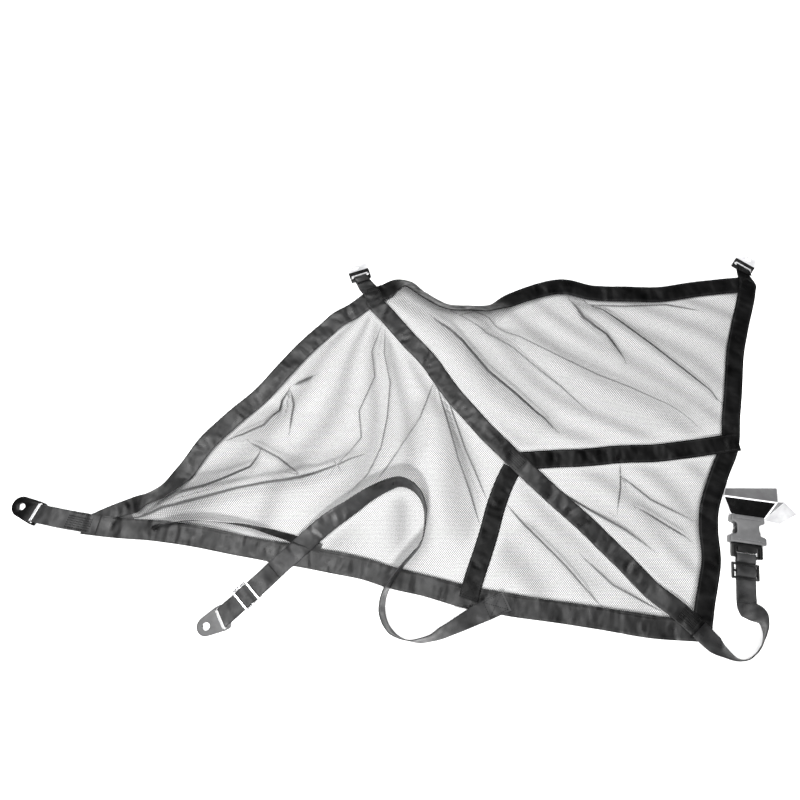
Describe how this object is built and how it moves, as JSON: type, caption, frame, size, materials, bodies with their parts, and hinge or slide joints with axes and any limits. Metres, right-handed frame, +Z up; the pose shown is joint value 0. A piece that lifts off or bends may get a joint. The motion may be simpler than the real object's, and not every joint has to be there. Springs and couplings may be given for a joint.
{
  "type": "utility vehicle door net",
  "caption": "Four-sided mesh door net edged and crossed with webbing, with bolt-on tabs, adjustable straps and a side-release buckle fixed to a bent bracket, lying flat.",
  "frame": {"origin": "on the surface under the middle of the object's bounding box", "axes": "+X along the net towards the edge with the buckle, +Y across it towards the edge with the bent tabs, +Z up from the surface it lies on"},
  "size_m": [1.0647, 0.5826, 0.0286],
  "materials": {
    "mesh": "fine open knit",
    "webbing": "ribbed flat webbing",
    "black_steel": "smooth black coat",
    "grey_steel": "plated",
    "bright_steel": "bright plated",
    "black_plastic": "moulded",
    "grey_plastic": "moulded"
  },
  "bodies": {
    "net": {"Mesh-panel": "mesh", "Upper-left-edge-webbing": "webbing", "Top-edge-webbing": "webbing", "Bottom-edge-webbing": "webbing", "Right-edge-webbing": "webbing", "Long-cross-webbing": "webbing", "Short-cross-webbing": "webbing", "Diagonal-webbing": "webbing", "Left-anchor-strap": "webbing", "Lower-strap": "webbing", "Right-strap": "webbing", "Left-tab": "black_steel", "Top-left-tab": "black_steel", "Top-right-tab": "black_steel", "Lower-tab": "grey_steel", "Lower-slide": "bright_steel", "Right-slide": "black_plastic", "Buckle-insert": "black_plastic", "Buckle-prong-left": "black_plastic", "Buckle-prong-right": "black_plastic"},
    "receiver": {"Buckle-housing": "grey_plastic", "Bracket": "black_steel"}
  },
  "joints": [
    {"name": "buckle_release", "type": "slide", "parent": "net", "child": "receiver", "axis": [0.144, 0.9896, 0], "range_m": [0, 0.024]}
  ]
}
